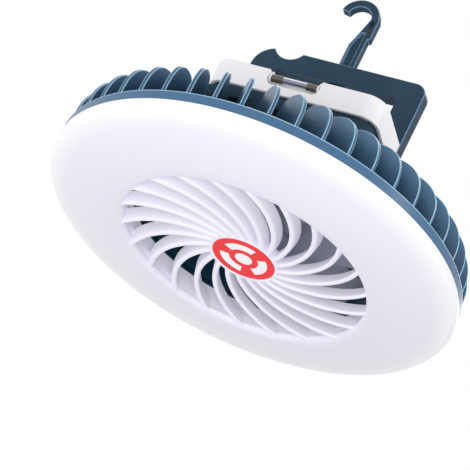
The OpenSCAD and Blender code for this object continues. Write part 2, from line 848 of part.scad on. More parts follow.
// Steel plate between the frame's two halves: its claw reaches into the notch
module opener_insert() {
    claw = 1.3;
    color(steel) upright(frame_split - insert_t, insert_t) difference() {
        insert_bed(0);
        translate([notch_x + claw, notch_z]) circle(r = notch_r);
    }
}

module frame_pins() {
    inner = neck_w / 2 - wall / 2 - boss_len + 0.8;
    outer = box_w / 2 - 2.2;
    color(steel) {
        rod_x(pivot_r, inner, outer, frame_y, pivot_z);
        rod_x(pivot_r, -outer, -inner, frame_y, pivot_z);
    }
}

module pivot_washers() {
    x = neck_w / 2 + seat;
    color("ivory") for (s = [-1, 1]) difference() {
        rod_x(pivot_r + 1.1, s * (x + washer_t / 2) - washer_t / 2,
            s * (x + washer_t / 2) + washer_t / 2, frame_y, pivot_z);
        rod_x(pivot_r + run, -box_w, box_w, frame_y, pivot_z);
    }
}

// ------------------------------------------------------------------ hook

// Left edge of the shank, swept in from its full width to the foot of the loop
function shank_edge(t) = [hook_x - shank_w / 2 + (loop_x + loop_r - loop_w - hook_x + shank_w / 2)
    * pow(t, 0.9), frame_top + loop_rise * (0.45 + 0.55 * t)];

module hook_outline() {
    left = hook_x - shank_w / 2;
    right = hook_x + shank_w / 2;
    foot = frame_top - roof - 0.1 - foot_h;
    tip = 168;
    polygon(concat(
        [[left, foot]],
        [for (i = [0:6]) shank_edge(i / 6)],
        [[loop_x + loop_r, loop_z], [right, loop_z - 12], [right, foot]]));
    // Thumb pad on the right edge, which stops the hook as it goes down
    round_rect(right - 1, frame_top + hook_travel + slide, right + 1.2, loop_z + 1.3, 0.6);
    // Loop, open on its left
    intersection() {
        translate([loop_x, loop_z]) difference() {
            circle(r = loop_r);
            circle(r = loop_r - loop_w);
        }
        translate([loop_x, loop_z]) polygon([[0, 0], [40, 0], [40, 40], [-40, 40],
            40 * [cos(tip), sin(tip)]]);
    }
}

module hook() {
    left = hook_x - shank_w / 2;
    eye_x = loop_x + loop_r - loop_w / 2 - 0.1;
    color(blue) union() {
        difference() {
            upright(frame_y - shank_t / 2, shank_t) hook_outline();
            // Sunk panel on both faces
            for (y = [frame_y - shank_t / 2 - 1, frame_y + shank_t / 2 - 1]) upright(y, 2)
                polygon([[left + 1, frame_top + 0.5], [left + 1, frame_top + loop_rise * 0.45],
                    [left + 3.6, frame_top + loop_rise * 0.72], [left + 5, frame_top + loop_rise * 0.72],
                    [left + 5, frame_top + 0.5]]);
            // Long eye under the loop
            upright(frame_y - 10, 20)
                round_rect(eye_x - 0.9, loop_z - 9, eye_x + 0.9, loop_z - 0.5, 0.85);
        }
        translate([left, frame_y - foot_t / 2, frame_top - roof - 0.1 - foot_h])
            cube([shank_w, foot_t, foot_h]);
    }
}

// ------------------------------------------------------------------ nodes

diffuser_ring();
front_grille();
throat_tube();
grille_badge();
badge_motif();
led_carrier();
led_board();
led_chips();
rim_band();
cooling_fins();
rear_cover();
pedestal();
housing_screws();
air_duct();
motor_spider();
spider_screws();
motor_can();
motor_bearing();
motor_shaft();
impeller();
impeller_clip();
battery_holder();
battery_cells();
cell_contacts();
box_cover();
box_screws();
control_board();
charge_socket();
switch_board();
tact_switches();
power_button();
light_button();
charge_window();
port_lid();
lid_pin();
lid_springs();
frame_pins();
pivot_washers();
frame_front();
frame_back();
frame_screws();
opener_insert();
hook();
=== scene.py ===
import json
import math

import bmesh
import bpy
from bpy.props import FloatProperty, FloatVectorProperty, IntProperty, PointerProperty
from mathutils import Matrix, Vector

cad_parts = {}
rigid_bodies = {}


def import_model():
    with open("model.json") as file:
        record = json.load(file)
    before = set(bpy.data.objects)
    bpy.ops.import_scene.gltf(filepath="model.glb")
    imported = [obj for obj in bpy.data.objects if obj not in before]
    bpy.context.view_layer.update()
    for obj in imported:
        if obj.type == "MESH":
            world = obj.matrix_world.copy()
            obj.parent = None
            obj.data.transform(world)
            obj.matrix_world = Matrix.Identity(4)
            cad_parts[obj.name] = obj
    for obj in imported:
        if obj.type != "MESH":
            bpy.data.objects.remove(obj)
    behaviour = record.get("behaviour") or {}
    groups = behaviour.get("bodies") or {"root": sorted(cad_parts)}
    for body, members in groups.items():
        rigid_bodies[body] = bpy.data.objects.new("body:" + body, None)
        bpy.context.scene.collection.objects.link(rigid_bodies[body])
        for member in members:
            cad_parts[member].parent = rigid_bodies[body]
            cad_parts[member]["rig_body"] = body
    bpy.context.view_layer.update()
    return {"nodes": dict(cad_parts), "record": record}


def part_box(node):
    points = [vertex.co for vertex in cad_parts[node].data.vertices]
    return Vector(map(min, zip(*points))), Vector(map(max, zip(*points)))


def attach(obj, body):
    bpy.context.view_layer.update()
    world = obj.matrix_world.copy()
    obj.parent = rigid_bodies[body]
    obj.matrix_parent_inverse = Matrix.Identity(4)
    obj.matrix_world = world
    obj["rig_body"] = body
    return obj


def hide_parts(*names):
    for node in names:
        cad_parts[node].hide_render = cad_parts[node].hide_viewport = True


bl_info = {
    "name": "Camping fan finish",
    "version": (1, 0, 0),
    "blender": (4, 5, 0),
    "location": "3D View > Sidebar > Camping fan",
    "description": "Finishes the packed camping fan: rounded mouldings, vanes, fins and materials",
    "category": "Add Mesh",
}

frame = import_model()
CAD_NODES = frame["nodes"]
MM = 0.001

ROUND_FROM = math.radians(32)  # edges of the CAD mesh that turn by more than this are rounded
BREAK_FROM = math.radians(38)  # edges that turn by more than this show as edges
FLAT_WITHIN = math.radians(0.6)  # faces this close to one plane are joined
WELD = 1e-6  # vertices closer than this, in metres, are one
BEVEL_STEPS = 2
HUB_SIDES, THROAT_SIDES, RING_SIDES = 160, 240, 288  # sides of the turned shapes
AIM = Vector((0, 0, 0.05))  # where the lamps point


def size_of(node):
    """Width, depth and height of a CAD node, in metres."""
    low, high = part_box(node)
    return high - low


# ---------------------------------------------------------------- materials


class Signal:
    """An output socket in a material. Arithmetic on it adds Math nodes to the material."""

    def __init__(self, finish, socket):
        self.finish, self.socket = finish, socket

    def math(self, operation, *values):
        return self.finish.node("ShaderNodeMath", {"operation": operation}, dict(enumerate(values)))

    def __add__(self, other):
        return self.math("ADD", self, other)

    def __sub__(self, other):
        return self.math("SUBTRACT", self, other)

    def __rsub__(self, other):
        return self.math("SUBTRACT", other, self)

    def __mul__(self, other):
        return self.math("MULTIPLY", self, other)

    def __truediv__(self, other):
        return self.math("DIVIDE", self, other)

    __radd__, __rmul__ = __add__, __mul__


class Finish:
    """A material in the making: its node tree, its Principled shader and one method for any node."""

    def __init__(self, name):
        self.material = bpy.data.materials.new(name)
        self.material.use_nodes = True
        self.tree = self.material.node_tree
        self.shader = self.tree.nodes["Principled BSDF"]
        self.place = self.node("ShaderNodeTexCoord", output="Object")

    def feed(self, socket, value):
        """Links a signal to a socket, or sets the socket to a plain value."""
        if isinstance(value, Signal):
            self.tree.links.new(value.socket, socket)
        else:
            socket.default_value = value

    def node(self, kind, settings=None, inputs=None, output=0):
        """Adds a node, sets its settings and then its sockets, and gives one of its outputs."""
        made = self.tree.nodes.new(kind)
        for key, value in (settings or {}).items():
            if key == "stops":
                fill_ramp(made.color_ramp, value)
            else:
                setattr(made, key, value)
        for key, value in (inputs or {}).items():
            self.feed(made.inputs[key], value)
        return Signal(self, made.outputs[output])

    def surface(self, **values):
        """Sets the shader's sockets: base_color stands for Base Color, and so on."""
        for key, value in values.items():
            self.feed(self.shader.inputs[key.replace("_", " ").title().replace("Ior", "IOR")], value)
        return self.material

    def noise(self, per_mm, detail=3.0, place=None):
        """Cloudy noise from 0 to 1 with about per_mm features to the millimetre."""
        return self.node("ShaderNodeTexNoise", {}, {"Vector": place or self.place,
                         "Scale": per_mm / MM, "Detail": detail, "Roughness": 0.55})

    def blend(self, share, first, second):
        """Colour between first and second, at share."""
        return self.node("ShaderNodeMix", {"data_type": "RGBA"}, {0: share, 6: first, 7: second}, output=2)

    def ramp(self, value, stops, interpolation="LINEAR"):
        """Colour that value picks from a ramp."""
        made = self.node("ShaderNodeValToRGB", {"stops": stops}, {"Fac": value})
        made.socket.node.color_ramp.interpolation = interpolation
        return made

    def bump(self, height, strength, distance):
        """Normals of a surface whose height runs over distance, in millimetres."""
        return self.node("ShaderNodeBump", {}, {"Height": height, "Strength": strength,
                         "Distance": distance * MM})


def fill_ramp(ramp, stops):
    """Gives a colour ramp its stops, each a position and a colour."""
    while len(ramp.elements) < len(stops):
        ramp.elements.new(1.0)
    for element, (position, colour) in zip(ramp.elements, stops):
        element.position, element.color = position, colour


def rgba(colour, shade=1.0):
    """A property's colour as four numbers, darkened or lightened by shade."""
    return (*[min(1.0, part * shade) for part in colour[:3]], 1.0)


def moulded(name, colour, roughness, grain=1.1, grain_depth=0.012, mottle=0.05, coat=0.0, gloss=0.5,
            painted_glow=0.0):
    """Injection-moulded plastic with a fine spark-eroded grain and faint flow marks.

    Its glow argument paints light: the share of its own colour that the plastic emits, which lifts its shade."""
    finish = Finish(name)
    flow = finish.noise(0.02, 2.0)
    speck = finish.noise(grain, 2.0)
    tone = finish.blend(flow * 0.7 + speck * 0.3, rgba(colour, 1 - mottle), rgba(colour, 1 + mottle))
    return finish.surface(
        base_color=tone,
        roughness=finish.noise(0.15, 3.0) * 0.12 + (roughness - 0.06),
        normal=finish.bump(speck, 0.35, grain_depth),
        specular_ior_level=gloss,
        emission_color=rgba(colour),
        emission_strength=painted_glow,
        coat_weight=coat,
        coat_roughness=0.12,
    )


def fin_blue_painted_shade(name, look):
    """Blue of the fins with painted shade and light: darker near the band, where shade falls between the fins,
    and paler towards their tips, where the light falls.
    """
    finish = Finish(name)
    low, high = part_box("cooling_fins")
    height = finish.node("ShaderNodeSeparateXYZ", {}, {"Vector": finish.place}, output="Z")
    # Painted shade and light: by height, from a shaded copy of the fin blue at the band to a lit copy at the
    # tips.
    share = finish.ramp((height - low.z) / (high.z - low.z),
                        [(0.1, (0, 0, 0, 1)), (0.95, (1, 1, 1, 1))], "EASE")
    speck = finish.noise(1.2, 2.0)
    return finish.surface(
        base_color=finish.blend(speck * 0.15 + share * 0.85, rgba(look.fins, 0.6), rgba(look.fins, 1.5)),
        roughness=finish.noise(0.15, 3.0) * 0.12 + 0.26,
        normal=finish.bump(speck, 0.35, 0.012),
        specular_ior_level=0.25,
    )


def metal(name, colour, roughness, streak=(1.0, 1.0, 1.0)):
    """Drawn or turned metal with faint streaks along the work."""
    finish = Finish(name)
    stretched = finish.node("ShaderNodeVectorMath", {"operation": "MULTIPLY"},
                            {0: finish.place, 1: streak})
    lines = finish.noise(1.4, 3.0, stretched)
    stain = finish.noise(0.12, 2.0)
    return finish.surface(
        base_color=finish.blend(stain, rgba(colour, 0.93), rgba(colour, 1.05)),
        metallic=1.0,
        roughness=lines * 0.16 + (roughness - 0.08),
        normal=finish.bump(lines, 0.3, 0.004),
    )


def opal(name, look):
    """Opal diffuser with a painted highlight: its outer band is painted whiter than its broad face."""
    finish = Finish(name)
    flat = finish.node("ShaderNodeVectorMath", {"operation": "MULTIPLY"},
                       {0: finish.place, 1: (1, 1, 0)})
    radius = finish.node("ShaderNodeVectorMath", {"operation": "LENGTH"}, {0: flat}, output="Value")
    ring = size_of("diffuser_ring").x / 2
    # Painted highlight: the colour turns whiter towards the outer band, by radius.
    band = finish.ramp(radius / ring, [(0.62, (0.0, 0.0, 0.0, 1)), (0.9, (0.25, 0.25, 0.25, 1)),
                                       (0.985, (1, 1, 1, 1))])
    cloud = finish.noise(0.012, 2.0)
    tone = finish.blend(band, finish.blend(cloud, rgba(look.diffuser, 0.985), rgba(look.diffuser, 1.015)),
                        rgba(look.diffuser_rim_highlight))
    return finish.surface(
        base_color=tone,
        roughness=finish.noise(0.2, 2.0) * 0.06 + 0.3,
        normal=finish.bump(finish.noise(2.0, 1.0), 0.15, 0.004),
        coat_weight=0.25,
        coat_roughness=0.1,
    )


def circuit(name, colour):
    """Solder-masked board with darker and lighter copper areas under the mask."""
    finish = Finish(name)
    cells = finish.node("ShaderNodeTexVoronoi", {"feature": "DISTANCE_TO_EDGE"},
                        {"Vector": finish.place, "Scale": 0.35 / MM}, output="Distance")
    track = finish.ramp(cells, [(0.03, (0, 0, 0, 1)), (0.06, (1, 1, 1, 1))])
    return finish.surface(
        base_color=finish.blend(track, rgba(colour, 1.6), rgba(colour)),
        roughness=track * 0.1 + 0.3,
        normal=finish.bump(track, 0.3, 0.03),
    )


def lamp_die(name, colour):
    """Yellow phosphor of the lamps, which glows faintly behind the diffuser."""
    finish = Finish(name)
    grain = finish.noise(4.0, 2.0)
    return finish.surface(
        base_color=finish.blend(grain, rgba(colour, 0.9), rgba(colour, 1.1)),
        roughness=grain * 0.1 + 0.25,
        emission_color=rgba(colour),
        emission_strength=0.4,
    )


def window(name, colour):
    """Milky plastic over the charge lamp."""
    finish = Finish(name)
    cloud = finish.noise(0.8, 2.0)
    return finish.surface(
        base_color=finish.blend(cloud, rgba(colour, 0.9), rgba(colour, 1.05)),
        roughness=cloud * 0.08 + 0.1,
        coat_weight=0.5,
        coat_roughness=0.05,
    )


FINISHES = {}


def finish_of(slot):
    """The Blender material for one of the record's slots, made once."""
    if not FINISHES:
        look = bpy.context.scene.fan_look
        FINISHES.update({
            "diffuser": opal("Opal diffuser", look),
            "white_shell": moulded("White housing", look.white, 0.36, mottle=0.015),
            # The grille's glow is painted light: it emits a share of its colour to lift the shade between the
            # vanes.
            "grille_white": moulded("Grille white", look.grille, 0.45, mottle=0.01, gloss=0.3, painted_glow=0.2),
            "red_badge": moulded("Red badge", look.badge, 0.5, mottle=0.03),
            "badge_white": moulded("Badge white", look.badge_white, 0.5, mottle=0.01),
            "blue_shell": moulded("Blue housing", look.blue, 0.5, grain=1.0, grain_depth=0.03,
                                  mottle=0.4, gloss=0.08),
            # Painted highlight: a lighter blue for the rounded edges of the frame and hook.
            "housing_edge_highlight": moulded("Housing edge", look.housing_edge_highlight, 0.4, mottle=0.1),
            "blue_fins": fin_blue_painted_shade("Blue fins with painted shade", look),
            "band_blue": moulded("Band blue", look.band, 0.3, grain=1.2, mottle=0.06),
            # Painted highlight: a pale blue for the fins' rounded edges and the band's top corner.
            "fin_edge": moulded("Fin edge", look.fin_edge, 0.3, mottle=0.06, coat=0.3),
            "throat_dark": moulded("Throat", look.throat, 0.4, mottle=0.1),
            "rotor_grey": moulded("Rotor grey", look.rotor, 0.34, mottle=0.04),
            "board_green": circuit("Circuit board", look.board),
            "lamp_yellow": lamp_die("Lamp phosphor", look.lamp),
            "steel": metal("Steel", look.steel, 0.24, (0.12, 1.0, 1.0)),
            "spring_steel": metal("Spring steel", look.spring, 0.38),
            "bronze": metal("Bronze", look.bronze, 0.35),
            "cell_wrap": moulded("Cell wrap", look.cell, 0.25, mottle=0.06, coat=0.6),
            "black_plastic": moulded("Black plastic", look.black, 0.4, mottle=0.1),
            "nylon": moulded("Nylon", look.nylon, 0.4, mottle=0.03),
            "window": window("Charge window", look.white),
        })
    return FINISHES[slot]


# ---------------------------------------------------------------- mesh tools


SLOTS = {part["node"]: part["material_slot"] for part in frame["record"]["subparts"]}


def solid(name, mesh, node, edge=None, finish=None):
    """Makes a piece of a bmesh, gives it its finish, hides the CAD node and puts the piece on that node's body.
    """
    data = bpy.data.meshes.new(name)
    bmesh.ops.recalc_face_normals(mesh, faces=mesh.faces)
    mesh.to_mesh(data)
    mesh.free()
    data.polygons.foreach_set("use_smooth", [True] * len(data.polygons))
    data.set_sharp_from_angle(angle=BREAK_FROM)
    piece = bpy.data.objects.new(name.replace(" ", "_"), data)
    bpy.context.scene.collection.objects.link(piece)
    data.materials.append(finish_of(finish or SLOTS[node]))
    if edge:
        data.materials.append(finish_of(edge))
    flats = piece.modifiers.new("Flat faces stay flat", "WEIGHTED_NORMAL")
    flats.keep_sharp, flats.weight = True, 80
    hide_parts(node)
    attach(piece, CAD_NODES[node]["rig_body"])


def softened(name, node, width, edge=None, keep=None, plain=None, finish=None):
    """A CAD node's shape as a moulding: its corners rounded over width, in metres.

    keep says of an edge's middle whether that edge stays sharp, and plain says of a rounded
    edge's middle whether it goes without the edge finish, the lighter colour that paints a highlight on rounded
    edges."""
    mesh = bmesh.new()
    mesh.from_mesh(CAD_NODES[node].data)
    bmesh.ops.remove_doubles(mesh, verts=mesh.verts, dist=WELD)
    bmesh.ops.dissolve_limit(mesh, angle_limit=FLAT_WITHIN, verts=mesh.verts, edges=mesh.edges)
    for face in mesh.faces:
        face.material_index = 0
    corners = []
    for line in mesh.edges:
        if not line.is_manifold or line.calc_face_angle(0) < ROUND_FROM:
            continue
        middle = (line.verts[0].co + line.verts[1].co) / 2
        if not (keep and keep(middle)):
            corners.append(line)
    if corners and width:
        bmesh.ops.bevel(mesh, geom=corners, offset=width, offset_type="OFFSET",
                        segments=BEVEL_STEPS, profile=0.5, affect="EDGES", clamp_overlap=False, loop_slide=True,
                        material=1 if edge else -1)
    for face in mesh.faces:
        if plain and face.material_index and plain(face.calc_center_median()):
            face.material_index = 0
    bmesh.ops.remove_doubles(mesh, verts=mesh.verts, dist=2 * WELD)
    solid(name, mesh, node, edge, finish)


def soften_all(names, width):
    """Softens each node of names, which gives its piece's name, by the same width."""
    for node, name in names.items():
        softened(name, node, width)


def lathe(mesh, profile, count):
    """Turns a closed profile of (radius, height) points round the axis."""
    rings = []
    for i in range(count):
        turn = 2 * math.pi * i / count
        rings.append([mesh.verts.new((r * math.cos(turn), r * math.sin(turn), z)) for r, z in profile])
    for i in range(count):
        here, there = rings[i], rings[(i + 1) % count]
        for j in range(len(profile)):
            k = (j + 1) % len(profile)
            mesh.faces.new((here[j], there[j], there[k], here[k]))


def arc(cx, cy, radius, start, end, count):
    """Points of an arc, angles in degrees."""
    turns = [math.radians(start + (end - start) * i / count) for i in range(count + 1)]
    return [(cx + radius * math.cos(t), cy + radius * math.sin(t)) for t in turns]


# ---------------------------------------------------------------- light ring and grille


def throat_radius(sizes):
    """Inner radius of the throat tube."""
    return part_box("throat_tube")[1].x - sizes.throat_wall


def diffuser_profile(sizes):
    """Section of the diffuser, in metres: outer wall, bulged face, round lip, bore and inside."""
    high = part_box("diffuser_ring")[1]
    rim, top = high.x, high.z
    wall, edge, side, collar = 2.0 * MM, 2.6 * MM, 4.4 * MM, 1.5 * MM
    throat, bore = throat_radius(sizes), sizes.bore_radius
    lip_out, lip_round = bore + sizes.lip_flat, sizes.lip_round
    steps = 40

    def face(share, lift):
        """Point of the bulged face, share of the way in from the rim and lifted by lift."""
        drop = (top - side) * (1 - share) - 4 * sizes.bulge * share * (1 - share)
        return rim - (rim - lip_out) * share - lift / 4, drop + lift

    shares = [0.02 + 0.98 * i / steps for i in range(steps + 1)]
    outer = arc(rim - edge, top - side + edge * 0.9, edge, 0, -70, 14) + [face(s, 0) for s in shares[1:]]
    lip = arc(throat + lip_round, lip_round, lip_round, 270, 180, 16)
    inner = [face(s, wall) for s in reversed(shares[1:])]
    return ([(rim, top)] + outer + lip + [(throat, sizes.lip_height), (bore, sizes.lip_height),
            (bore, top - collar), (bore + wall, top - collar), (bore + wall, wall + 0.6 * MM)] + inner
            + [(rim - wall, top - side + wall), (rim - wall, top)])


def circle_through(a, b, c):
    """Centre of the circle through three points of the plane."""
    d = 2 * (a.x * (b.y - c.y) + b.x * (c.y - a.y) + c.x * (a.y - b.y))
    qa, qb, qc = a.length_squared, b.length_squared, c.length_squared
    return Vector(((qa * (b.y - c.y) + qb * (c.y - a.y) + qc * (a.y - b.y)) / d,
                   (qa * (c.x - b.x) + qb * (a.x - c.x) + qc * (b.x - a.x)) / d))


def vane_point(radius, hub):
    """A point of a vane's middle line, which swirls more towards the throat."""
    s = math.log(radius / hub)
    turn = math.radians(-17.7 - 21.1 * s - 10.3 * s * s)
    return Vector((radius * math.cos(turn), radius * math.sin(turn)))


def eased(value, start, end):
    """Runs smoothly from 0 at start to 1 at end."""
    share = min(1.0, max(0.0, (value - start) / (end - start)))
    return share * share * (3 - 2 * share)


def vane(mesh, turn, throat, rim, low, high, hub_front, sizes):
    """One swirled vane with a round nose, swept along an arc from the hub into the lip."""
    hub, root, lead = sizes.hub_radius, 1 * MM, 2 * MM
    stops = [vane_point(r, hub) for r in (hub - root, (hub + throat) / 2, rim)]
    centre = circle_through(*stops)
    radius = (stops[0] - centre).length
    start, end = [math.atan2(p.y - centre.y, p.x - centre.x) for p in (stops[0], stops[2])]
    if end - start > math.pi:
        end -= 2 * math.pi
    if start - end > math.pi:
        end += 2 * math.pi
    half = sizes.vane_thickness / 2
    nose = min(sizes.vane_nose, half)
    section = ([(-half, None)] + arc(-half + nose, nose, nose, 180, 270, 6)
               + arc(half - nose, nose, nose, 270, 360, 6) + [(half, None)])
    count = 40
    turned = Matrix.Rotation(turn, 3, "Z")
    rows = []
    for i in range(count + 1):
        angle = start + (end - start) * i / count
        out = Vector((math.cos(angle), math.sin(angle), 0))
        base = Vector((centre.x, centre.y, 0)) + out * radius
        front = (low + (hub_front - low) * eased(base.length, sizes.dish_radius, hub)
                 + sizes.lip_blend * eased(base.length, throat - lead, rim))
        row = []
        for x, rise in section:
            z = high if rise is None else front + rise
            lean = sizes.vane_lean * (z - low) / (high - low)
            row.append(mesh.verts.new(turned @ (base + out * (x + lean) + Vector((0, 0, z)))))
        rows.append(row)
    size = len(section)
    for here, there in zip(rows, rows[1:]):
        for j in range(size):
            mesh.faces.new((here[j], here[(j + 1) % size], there[(j + 1) % size], there[j]))
    mesh.faces.new(rows[0])
    mesh.faces.new(list(reversed(rows[-1])))


def grille_mesh(sizes):
    """Hub with the badge's bed, vanes, and the rim behind the diffuser's lip."""
    mesh = bmesh.new()
    low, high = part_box("front_grille")
    badge_low, badge_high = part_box("grille_badge")
    hub, rim, throat = sizes.hub_radius, high.x, throat_radius(sizes)
    gap, edge, centre = 0.1 * MM, 0.3 * MM, 0.5 * MM
    bed, floor, hub_front = badge_high.x + gap, badge_high.z + gap, badge_low.z
    lathe(mesh, [(centre, high.z), (centre, floor), (bed, floor)]
          + arc(bed + edge, hub_front + edge, edge, 180, 270, 4)
          + [(hub, hub_front - edge / 2), (hub, high.z)], HUB_SIDES)
    rim_front = sizes.lip_height + 0.02 * MM
    lathe(mesh, [(rim, high.z), (throat, high.z), (throat, rim_front), (rim, rim_front)], THROAT_SIDES)
    for i in range(sizes.vanes):
        vane(mesh, 2 * math.pi * i / sizes.vanes, throat, rim, low.z, high.z, hub_front, sizes)
    return mesh


def throat_mesh(sizes):
    """Throat tube, white as far as its front stretch reaches, with painted shade behind that: its deep inside
    gets the dark throat finish.
    """
    mesh = bmesh.new()
    low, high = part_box("throat_tube")
    inner, outer = throat_radius(sizes), high.x
    split = sizes.throat_painted_shade_from
    lathe(mesh, [(inner, low.z), (outer, low.z), (outer, high.z), (inner, high.z), (inner, split)],
          THROAT_SIDES)
    # Painted shade: inside faces deeper than the split get the dark throat finish.
    for face in mesh.faces:
        middle = face.calc_center_median()
        if middle.z > split and math.hypot(middle.x, middle.y) < (inner + outer) / 2:
            face.material_index = 1
    return mesh


def band_mesh():
    """Band over the light ring's seam, with round corners, and the deck inside it."""
    mesh = bmesh.new()
    low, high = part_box("rim_band")
    soft, seam, wall = 0.8 * MM, 0.3 * MM, 2.0 * MM
    drum = min(math.hypot(v.co.x, v.co.y) for v in CAD_NODES["rim_band"].data.vertices)
    out = high.x
    lathe(mesh, [(out - wall, low.z), (out - seam, low.z)]
          + arc(out - seam, low.z + seam, seam, 270, 360, 3)
          + arc(out - soft, high.z - soft, soft, 0, 90, 6)
          + [(drum, high.z), (drum, high.z - wall), (out - wall, high.z - wall)], RING_SIDES)
    # Painted highlight: the band's round top corner gets the pale fin-edge finish.
    for face in mesh.faces:
        middle = face.calc_center_median()
        if middle.z > high.z - soft and math.hypot(middle.x, middle.y) > out - soft:
            face.material_index = 1
    return mesh


# ---------------------------------------------------------------- settings


def from_screen(red, green, blue):
    """A screen colour, 0 to 255, as the linear colour that Blender keeps."""
    parts = [part / 255 for part in (red, green, blue)]
    return [p / 12.92 if p <= 0.04045 else ((p + 0.055) / 1.055) ** 2.4 for p in parts]


def colour(name, description, *screen):
    """A colour property that starts as a screen colour."""
    return FloatVectorProperty(name=name, description=description, subtype="COLOR", min=0, max=1,
                               default=from_screen(*screen))


def length(name, description, millimetres, low=0.0, high=400.0):
    """A length property in metres that starts at a number of millimetres."""
    return FloatProperty(name=name, description=description, default=millimetres * MM, min=low * MM,
                         max=high * MM, unit="LENGTH", subtype="DISTANCE", precision=4)


def angle(name, description, degrees):
    """An angle property that starts at a number of degrees."""
    return FloatProperty(name=name, description=description, default=math.radians(degrees),
                         unit="ROTATION", subtype="ANGLE")


class FAN_PG_look(bpy.types.PropertyGroup):
    """Colours of the fan's finishes"""

    diffuser: colour("Diffuser", "Broad face of the opal diffuser", 232, 230, 242)
    # Painted highlight: the whiter colour of the diffuser's outer band.
    diffuser_rim_highlight: colour("Diffuser rim", "Outer band of the diffuser", 250, 249, 254)
    white: colour("White housing", "Box, lid and motor spider", 252, 250, 255)
    # The grille colour also feeds the grille's painted glow.
    grille: colour("Grille", "Vanes and throat, which daylight shines through", 222, 220, 232)
    badge: colour("Badge", "Badge in the middle of the grille", 240, 20, 36)
    badge_white: colour("Badge white", "Device on the badge", 250, 249, 254)
    blue: colour("Blue housing", "Frame, hook, drum and pedestal", 47, 68, 86)
    # Painted highlight: lighter blue painted on the rounded edges of the frame and hook.
    housing_edge_highlight: colour("Housing edges", "Edges of the frame and hook", 92, 132, 162)
    fins: colour("Fins", "Cooling fins", 72, 107, 136)
    band: colour("Band", "Band over the light ring's seam", 62, 104, 140)
    # Painted highlight: the pale blue painted on the fins' rounded edges and the band's top corner.
    fin_edge: colour("Fin edges", "Shiny edges of the fins", 150, 195, 225)
    # This dark colour is also painted shade on the white throat's deep inside.
    throat: colour("Throat", "Inside of the air duct", 18, 62, 80)
    rotor: colour("Impeller", "Smoky impeller in the shade of the duct", 134, 136, 154)
    board: colour("Boards", "Circuit boards", 26, 96, 58)
    lamp: colour("Lamps", "Phosphor of the lamps", 250, 232, 150)
    steel: colour("Steel", "Pin, screws and opener", 142, 144, 162)
    spring: colour("Springs", "Dark spring wire", 112, 104, 98)
    bronze: colour("Bronze", "Sintered bearing", 178, 138, 84)
    cell: colour("Cell wrap", "Shrink wrap of the cells", 40, 88, 160)
    black: colour("Black plastic", "Battery tray and switches", 18, 18, 20)
    nylon: colour("Nylon", "Pivot washers", 226, 222, 208)


class FAN_PG_sizes(bpy.types.PropertyGroup):
    """Sizes of the modelled mouldings"""

    bore_radius: length("Bore radius", "Inner radius of the light ring behind the lip", 61.2)
    lip_flat: length("Lip flat", "From the bore to the outer edge of the flat lip", 3.4)
    lip_round: length("Lip rounding", "Rounding of the lip into the throat", 3.0)
    lip_height: length("Lip height", "Height of the lip's wall in the throat", 3.4)
    lip_blend: length("Lip blend", "How far a vane's front edge sinks where it runs into the lip", 0.15)
    bulge: length("Bulge", "How far the diffuser's face bulges past a cone", 1.2)
    hub_radius: length("Hub radius", "Radius of the hub that the vanes meet in", 16.7)
    throat_wall: length("Throat wall", "Wall of the throat tube", 1.5)
    # Height from which the throat's inside is painted dark, as painted shade.
    throat_painted_shade_from: length("Throat's white front", "Height that the throat's white front reaches", 11.6)
    vanes: IntProperty(name="Vanes", description="Number of swirled vanes", default=22, min=8, max=40)
    vane_thickness: length("Vane thickness", "Thickness of a vane", 2.5)
    vane_nose: length("Vane nose", "Rounding of a vane's front edges", 1.25)
    vane_lean: length("Vane lean", "How far a vane's back edge leans out from its front edge", 1.4)
    dish_radius: length("Dish radius", "Radius of the dish that leads from the vanes to the hub", 23)
    arm_width: length("Arm width", "Width of the frame's arms", 12)
    bar_height: length("Bar height", "Height of the frame's top bar", 10.5)
    pocket_half: length("Pocket", "From the middle to beyond the side of the hook's pocket", 5.5)
    panel_side: length("Panel side", "Place of the right side of the hook's sunk panel", 1.6)
    blue_edge: length("Blue edge", "Rounding of the frame's and drum's edges", 0.45, 0.05, 2)
    hook_edge: length("Hook edge", "Rounding of the hook's edges", 0.35, 0.05, 1)
    box_edge: length("Box edge", "Rounding of the white box's edges", 0.5, 0.05, 2)
    fin_edge: length("Fin edge", "Rounding of a fin's edges", 0.4, 0.05, 0.9)
    small_edge: length("Small edge", "Rounding of small pieces' edges", 0.15, 0.02, 1)


class FAN_PG_stage(bpy.types.PropertyGroup):
    """Camera, lamps and surroundings"""

    azimuth: angle("Azimuth", "Camera's direction round the fan, from the front wall", 23.916)
    elevation: angle("Elevation", "Camera's height over the horizon, below it when negative", -28.039)
    roll: angle("Roll", "Camera's turn about its own line of sight", 26.362)
    distance: length("Distance", "From the camera to the seam of the light ring", 6793, 100, 9000)
    shift_right: length("Shift right", "The ring's middle from the picture's middle, to the right",
                        9.317, -400)
    shift_up: length("Shift up", "The ring's middle from the picture's middle, upwards", 0.226, -400)
    seam: length("Seam height", "Height of the ring's middle", 14.6)
    focal: FloatProperty(name="Focal length", description="Camera's focal length", default=1148.94,
                         min=10, max=3000, unit="CAMERA")
    ambient: FloatProperty(name="Ambient", description="Light of the surroundings", default=0.64,
                           min=0, max=2)
    lamps: FloatProperty(name="Lamps", description="Strength of all lamps", default=1.0, min=0, max=5)


# ---------------------------------------------------------------- operators


